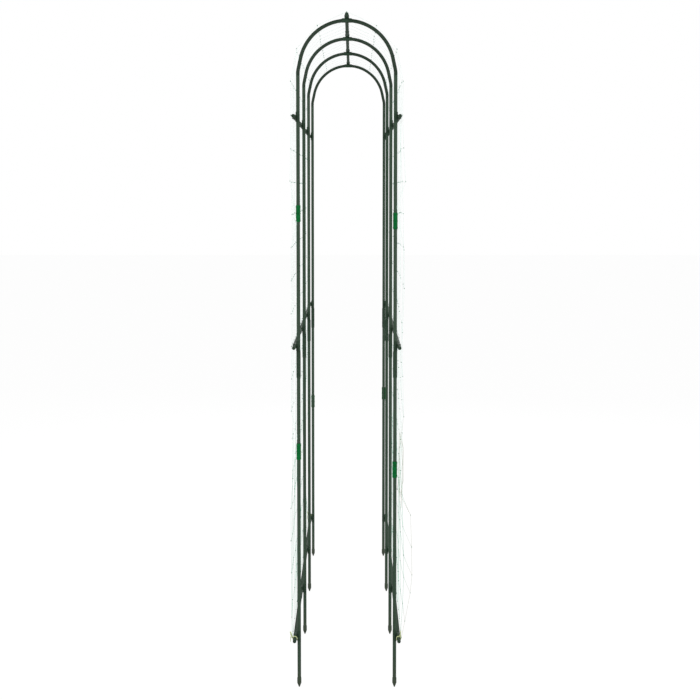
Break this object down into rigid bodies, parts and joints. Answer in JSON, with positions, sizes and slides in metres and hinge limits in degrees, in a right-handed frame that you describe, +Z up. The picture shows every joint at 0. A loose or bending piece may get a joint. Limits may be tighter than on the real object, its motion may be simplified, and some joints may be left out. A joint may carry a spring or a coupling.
{
  "type": "garden trellis arch",
  "caption": "Narrow tunnel arch for climbing plants: round tube hoops joined by long rails with press-on clips, hung with a wide-mesh twine net.",
  "frame": {"origin": "on the ground plane under the middle of the tunnel, at the height of the stake tips' blunt points", "axes": "+Z up, +Y along the tunnel from its front hoop to its back hoop, +X to the right seen from the front"},
  "size_m": [0.3972, 1.8002, 2.0474],
  "materials": {
    "coated_tube": "dark green plastic-coated steel tube, satin, finely ribbed by the coating",
    "green_plastic": "moulded dark green plastic, satin",
    "net_clip": "bright green moulded plastic, glossy",
    "net_twine": "pale mint green twisted plastic twine",
    "tie_cord": "pale yellow-green twisted cord"
  },
  "bodies": {
    "root": {"arch_bend_1": "coated_tube", "arch_bend_2": "coated_tube", "arch_bend_3": "coated_tube", "arch_bend_4": "coated_tube", "upper_stake_left_1": "coated_tube", "upper_stake_left_2": "coated_tube", "upper_stake_left_3": "coated_tube", "upper_stake_left_4": "coated_tube", "upper_stake_right_1": "coated_tube", "upper_stake_right_2": "coated_tube", "upper_stake_right_3": "coated_tube", "upper_stake_right_4": "coated_tube", "lower_stake_left_1": "coated_tube", "lower_stake_left_2": "coated_tube", "lower_stake_left_3": "coated_tube", "lower_stake_left_4": "coated_tube", "lower_stake_right_1": "coated_tube", "lower_stake_right_2": "coated_tube", "lower_stake_right_3": "coated_tube", "lower_stake_right_4": "coated_tube", "leg_sleeves_left": "green_plastic", "leg_sleeves_right": "green_plastic", "stake_tips_left": "green_plastic", "stake_tips_right": "green_plastic", "ridge_rail_front": "coated_tube", "ridge_rail_middle": "coated_tube", "ridge_rail_back": "coated_tube", "lower_rail_left_front": "coated_tube", "lower_rail_left_middle": "coated_tube", "lower_rail_left_back": "coated_tube", "lower_rail_right_front": "coated_tube", "lower_rail_right_middle": "coated_tube", "lower_rail_right_back": "coated_tube", "middle_rail_left_front": "coated_tube", "middle_rail_left_middle": "coated_tube", "middle_rail_left_back": "coated_tube", "middle_rail_right_front": "coated_tube", "middle_rail_right_middle": "coated_tube", "middle_rail_right_back": "coated_tube", "upper_rail_left_front": "coated_tube", "upper_rail_left_middle": "coated_tube", "upper_rail_left_back": "coated_tube", "upper_rail_right_front": "coated_tube", "upper_rail_right_middle": "coated_tube", "upper_rail_right_back": "coated_tube", "rail_sleeves_ridge": "green_plastic", "rail_sleeves_left": "green_plastic", "rail_sleeves_right": "green_plastic", "rail_caps_front": "green_plastic", "rail_caps_back": "green_plastic", "cross_clips_ridge": "green_plastic", "cross_clips_left": "green_plastic", "cross_clips_right": "green_plastic", "net_clips_front": "net_clip", "net_clips_back": "net_clip", "net_hoop_twines": "net_twine", "net_long_twines": "net_twine", "net_ties": "tie_cord"}
  },
  "joints": []
}
